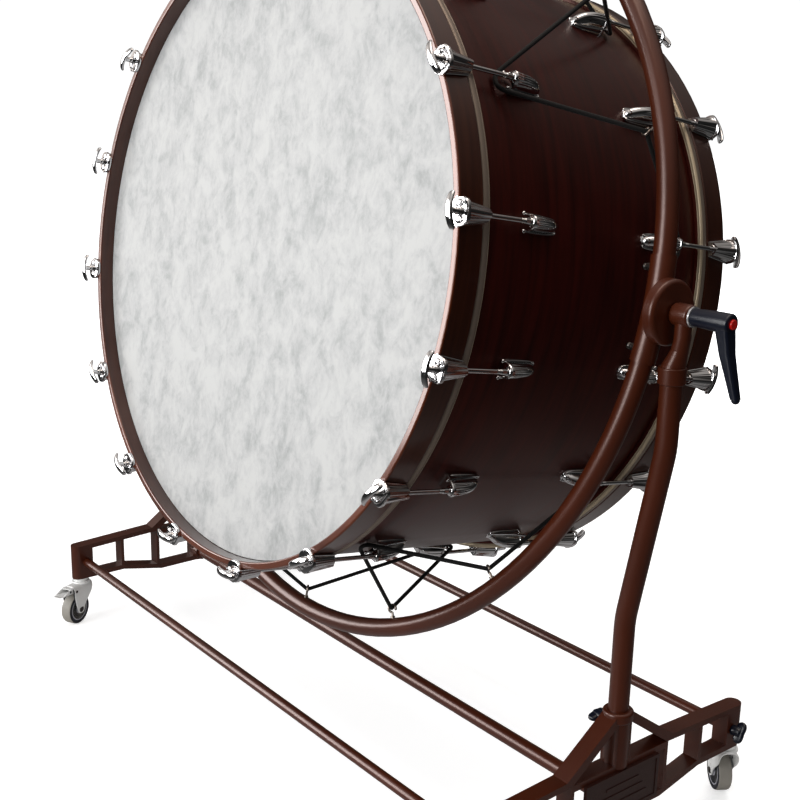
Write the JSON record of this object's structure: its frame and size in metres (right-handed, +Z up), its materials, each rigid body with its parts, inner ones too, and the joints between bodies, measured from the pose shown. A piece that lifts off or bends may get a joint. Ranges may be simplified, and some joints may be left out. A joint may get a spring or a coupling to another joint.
{
  "type": "concert bass drum on a tilting stand",
  "caption": "Large two-headed orchestral bass drum hung on elastic cords inside a tilting tubular ring, on a wheeled stand with clamp levers.",
  "frame": {"origin": "on the floor, midway between the four wheels, below the middle of the pivot axis", "axes": "+Z up; +X along the pivot axis towards the side frame that carries the name plate; the struck head faces -Y"},
  "size_m": [1.4296, 0.7139, 1.3551],
  "materials": {
    "shell_wood": "very dark mahogany, satin lacquer",
    "hoop_wood": "dark mahogany, satin lacquer",
    "head_film": "cloudy grey-white calf-look film",
    "flesh_hoop_metal": "satin",
    "chrome_fittings": "bright chrome plate",
    "stand_paint": "satin red-brown powder coat",
    "plate_paint": "satin red-brown powder coat",
    "zinc_steel": "dull zinc plate",
    "hook_wire": "plated wire",
    "washer_steel": "bright steel",
    "black_plastic": "fine matt grain",
    "red_plastic": "glossy red",
    "elastic_cover": "black braided elastic",
    "caster_tread": "light grey non-marking",
    "caster_centre": "dark grey",
    "screw_steel": "plated",
    "nut_brass": "machined"
  },
  "bodies": {
    "base": {"left_side_frame": "stand_paint", "right_side_frame": "stand_paint", "name_plate": "plate_paint", "front_crossbar": "stand_paint", "rear_crossbar": "stand_paint", "centre_crossbar": "stand_paint", "caster_stems": "zinc_steel"},
    "uprights": {"left_upright": "stand_paint", "right_upright": "stand_paint", "left_upright_head": "stand_paint", "right_upright_head": "stand_paint", "left_pivot_washer": "washer_steel", "right_pivot_washer": "washer_steel"},
    "tilting_drum": {"suspension_ring": "stand_paint", "left_ring_bracket": "stand_paint", "right_ring_bracket": "stand_paint", "left_pivot_pin": "washer_steel", "right_pivot_pin": "washer_steel", "bracket_bolts": "screw_steel", "ring_hooks": "hook_wire", "upper_elastic_cord": "elastic_cover", "lower_elastic_cord": "elastic_cover", "shell": "shell_wood", "front_counterhoop": "hoop_wood", "rear_counterhoop": "hoop_wood", "front_flesh_hoop": "flesh_hoop_metal", "rear_flesh_hoop": "flesh_hoop_metal", "front_head": "head_film", "rear_head": "head_film", "front_claws": "chrome_fittings", "rear_claws": "chrome_fittings", "front_tension_rods": "chrome_fittings", "rear_tension_rods": "chrome_fittings", "front_lugs": "chrome_fittings", "rear_lugs": "chrome_fittings", "lug_screws": "screw_steel", "swivel_nuts": "nut_brass"},
    "left_lever": {"left_clamp_lever": "black_plastic"},
    "right_lever": {"right_clamp_lever": "black_plastic"},
    "left_button": {"left_lever_button": "red_plastic"},
    "right_button": {"right_lever_button": "red_plastic"},
    "left_socket_wing": {"left_socket_screw": "black_plastic"},
    "right_socket_wing": {"right_socket_screw": "black_plastic"},
    "front_bar_wing": {"front_bar_bolt": "black_plastic"},
    "rear_bar_wing": {"rear_bar_bolt": "black_plastic"},
    "front_left_caster": {"front_left_caster_fork": "zinc_steel"},
    "front_left_caster_wheel": {"front_left_wheel": "caster_centre", "front_left_tyre": "caster_tread"},
    "front_left_brake": {"front_left_brake_pedal": "zinc_steel"},
    "front_right_caster": {"front_right_caster_fork": "zinc_steel"},
    "front_right_caster_wheel": {"front_right_wheel": "caster_centre", "front_right_tyre": "caster_tread"},
    "front_right_brake": {"front_right_brake_pedal": "zinc_steel"},
    "rear_left_caster": {"rear_left_caster_fork": "zinc_steel"},
    "rear_left_caster_wheel": {"rear_left_wheel": "caster_centre", "rear_left_tyre": "caster_tread"},
    "rear_right_caster": {"rear_right_caster_fork": "zinc_steel"},
    "rear_right_caster_wheel": {"rear_right_wheel": "caster_centre", "rear_right_tyre": "caster_tread"}
  },
  "joints": [
    {"name": "upright_height", "type": "slide", "parent": "base", "child": "uprights", "axis": [0, 0, 1], "range_m": [0, 0.08]},
    {"name": "drum_tilt", "type": "hinge", "parent": "uprights", "child": "tilting_drum", "pos_m": [0, 0, 0.77], "axis": [1, 0, 0], "continuous": true},
    {"name": "left_lever_turn", "type": "hinge", "parent": "tilting_drum", "child": "left_lever", "pos_m": [-0.66, 0, 0.77], "axis": [1, 0, 0], "range_deg": [-90, 90]},
    {"name": "left_button_press", "type": "slide", "parent": "left_lever", "child": "left_button", "axis": [1, 0, 0], "range_m": [0, 0.003], "stiffness_N_per_m": 600},
    {"name": "left_socket_screw_turn", "type": "hinge", "parent": "base", "child": "left_socket_wing", "pos_m": [-0.5475, 0, 0.203], "axis": [1, 0, 0], "range_deg": [-180, 180]},
    {"name": "right_lever_turn", "type": "hinge", "parent": "tilting_drum", "child": "right_lever", "pos_m": [0.66, 0, 0.77], "axis": [1, 0, 0], "range_deg": [-90, 90]},
    {"name": "right_button_press", "type": "slide", "parent": "right_lever", "child": "right_button", "axis": [-1, 0, 0], "range_m": [0, 0.003], "stiffness_N_per_m": 600},
    {"name": "right_socket_screw_turn", "type": "hinge", "parent": "base", "child": "right_socket_wing", "pos_m": [0.5475, 0, 0.203], "axis": [1, 0, 0], "range_deg": [-180, 180]},
    {"name": "front_bar_bolt_turn", "type": "hinge", "parent": "base", "child": "front_bar_wing", "pos_m": [0.5855, -0.246, 0.119], "axis": [1, 0, 0], "range_deg": [-180, 180]},
    {"name": "rear_bar_bolt_turn", "type": "hinge", "parent": "base", "child": "rear_bar_wing", "pos_m": [0.5855, 0.246, 0.119], "axis": [1, 0, 0], "range_deg": [-180, 180]},
    {"name": "front_left_swivel", "type": "hinge", "parent": "base", "child": "front_left_caster", "pos_m": [-0.572, -0.256, 0.08], "axis": [0, 0, 1], "continuous": true},
    {"name": "front_left_wheel_roll", "type": "hinge", "parent": "front_left_caster", "child": "front_left_caster_wheel", "pos_m": [-0.56261, -0.27366, 0.03], "axis": [0.8829, 0.4695, 0], "continuous": true},
    {"name": "front_left_brake_press", "type": "hinge", "parent": "front_left_caster", "child": "front_left_brake", "pos_m": [-0.55745, -0.28337, 0.069], "axis": [0.8829, 0.4695, 0], "range_deg": [0, 14]},
    {"name": "front_right_swivel", "type": "hinge", "parent": "base", "child": "front_right_caster", "pos_m": [0.572, -0.256, 0.08], "axis": [0, 0, 1], "continuous": true},
    {"name": "front_right_wheel_roll", "type": "hinge", "parent": "front_right_caster", "child": "front_right_caster_wheel", "pos_m": [0.56853, -0.2757, 0.03], "axis": [0.9848, -0.1736, 0], "continuous": true},
    {"name": "front_right_brake_press", "type": "hinge", "parent": "front_right_caster", "child": "front_right_brake", "pos_m": [0.56662, -0.28653, 0.069], "axis": [0.9848, -0.1736, 0], "range_deg": [0, 14]},
    {"name": "rear_left_swivel", "type": "hinge", "parent": "base", "child": "rear_left_caster", "pos_m": [-0.572, 0.256, 0.08], "axis": [0, 0, 1], "continuous": true},
    {"name": "rear_left_wheel_roll", "type": "hinge", "parent": "rear_left_caster", "child": "rear_left_caster_wheel", "pos_m": [-0.57547, 0.2757, 0.03], "axis": [-0.9848, -0.1736, 0], "continuous": true},
    {"name": "rear_right_swivel", "type": "hinge", "parent": "base", "child": "rear_right_caster", "pos_m": [0.572, 0.256, 0.08], "axis": [0, 0, 1], "continuous": true},
    {"name": "rear_right_wheel_roll", "type": "hinge", "parent": "rear_right_caster", "child": "rear_right_caster_wheel", "pos_m": [0.55562, 0.26747, 0.03], "axis": [-0.5736, -0.8191, 0], "continuous": true}
  ]
}
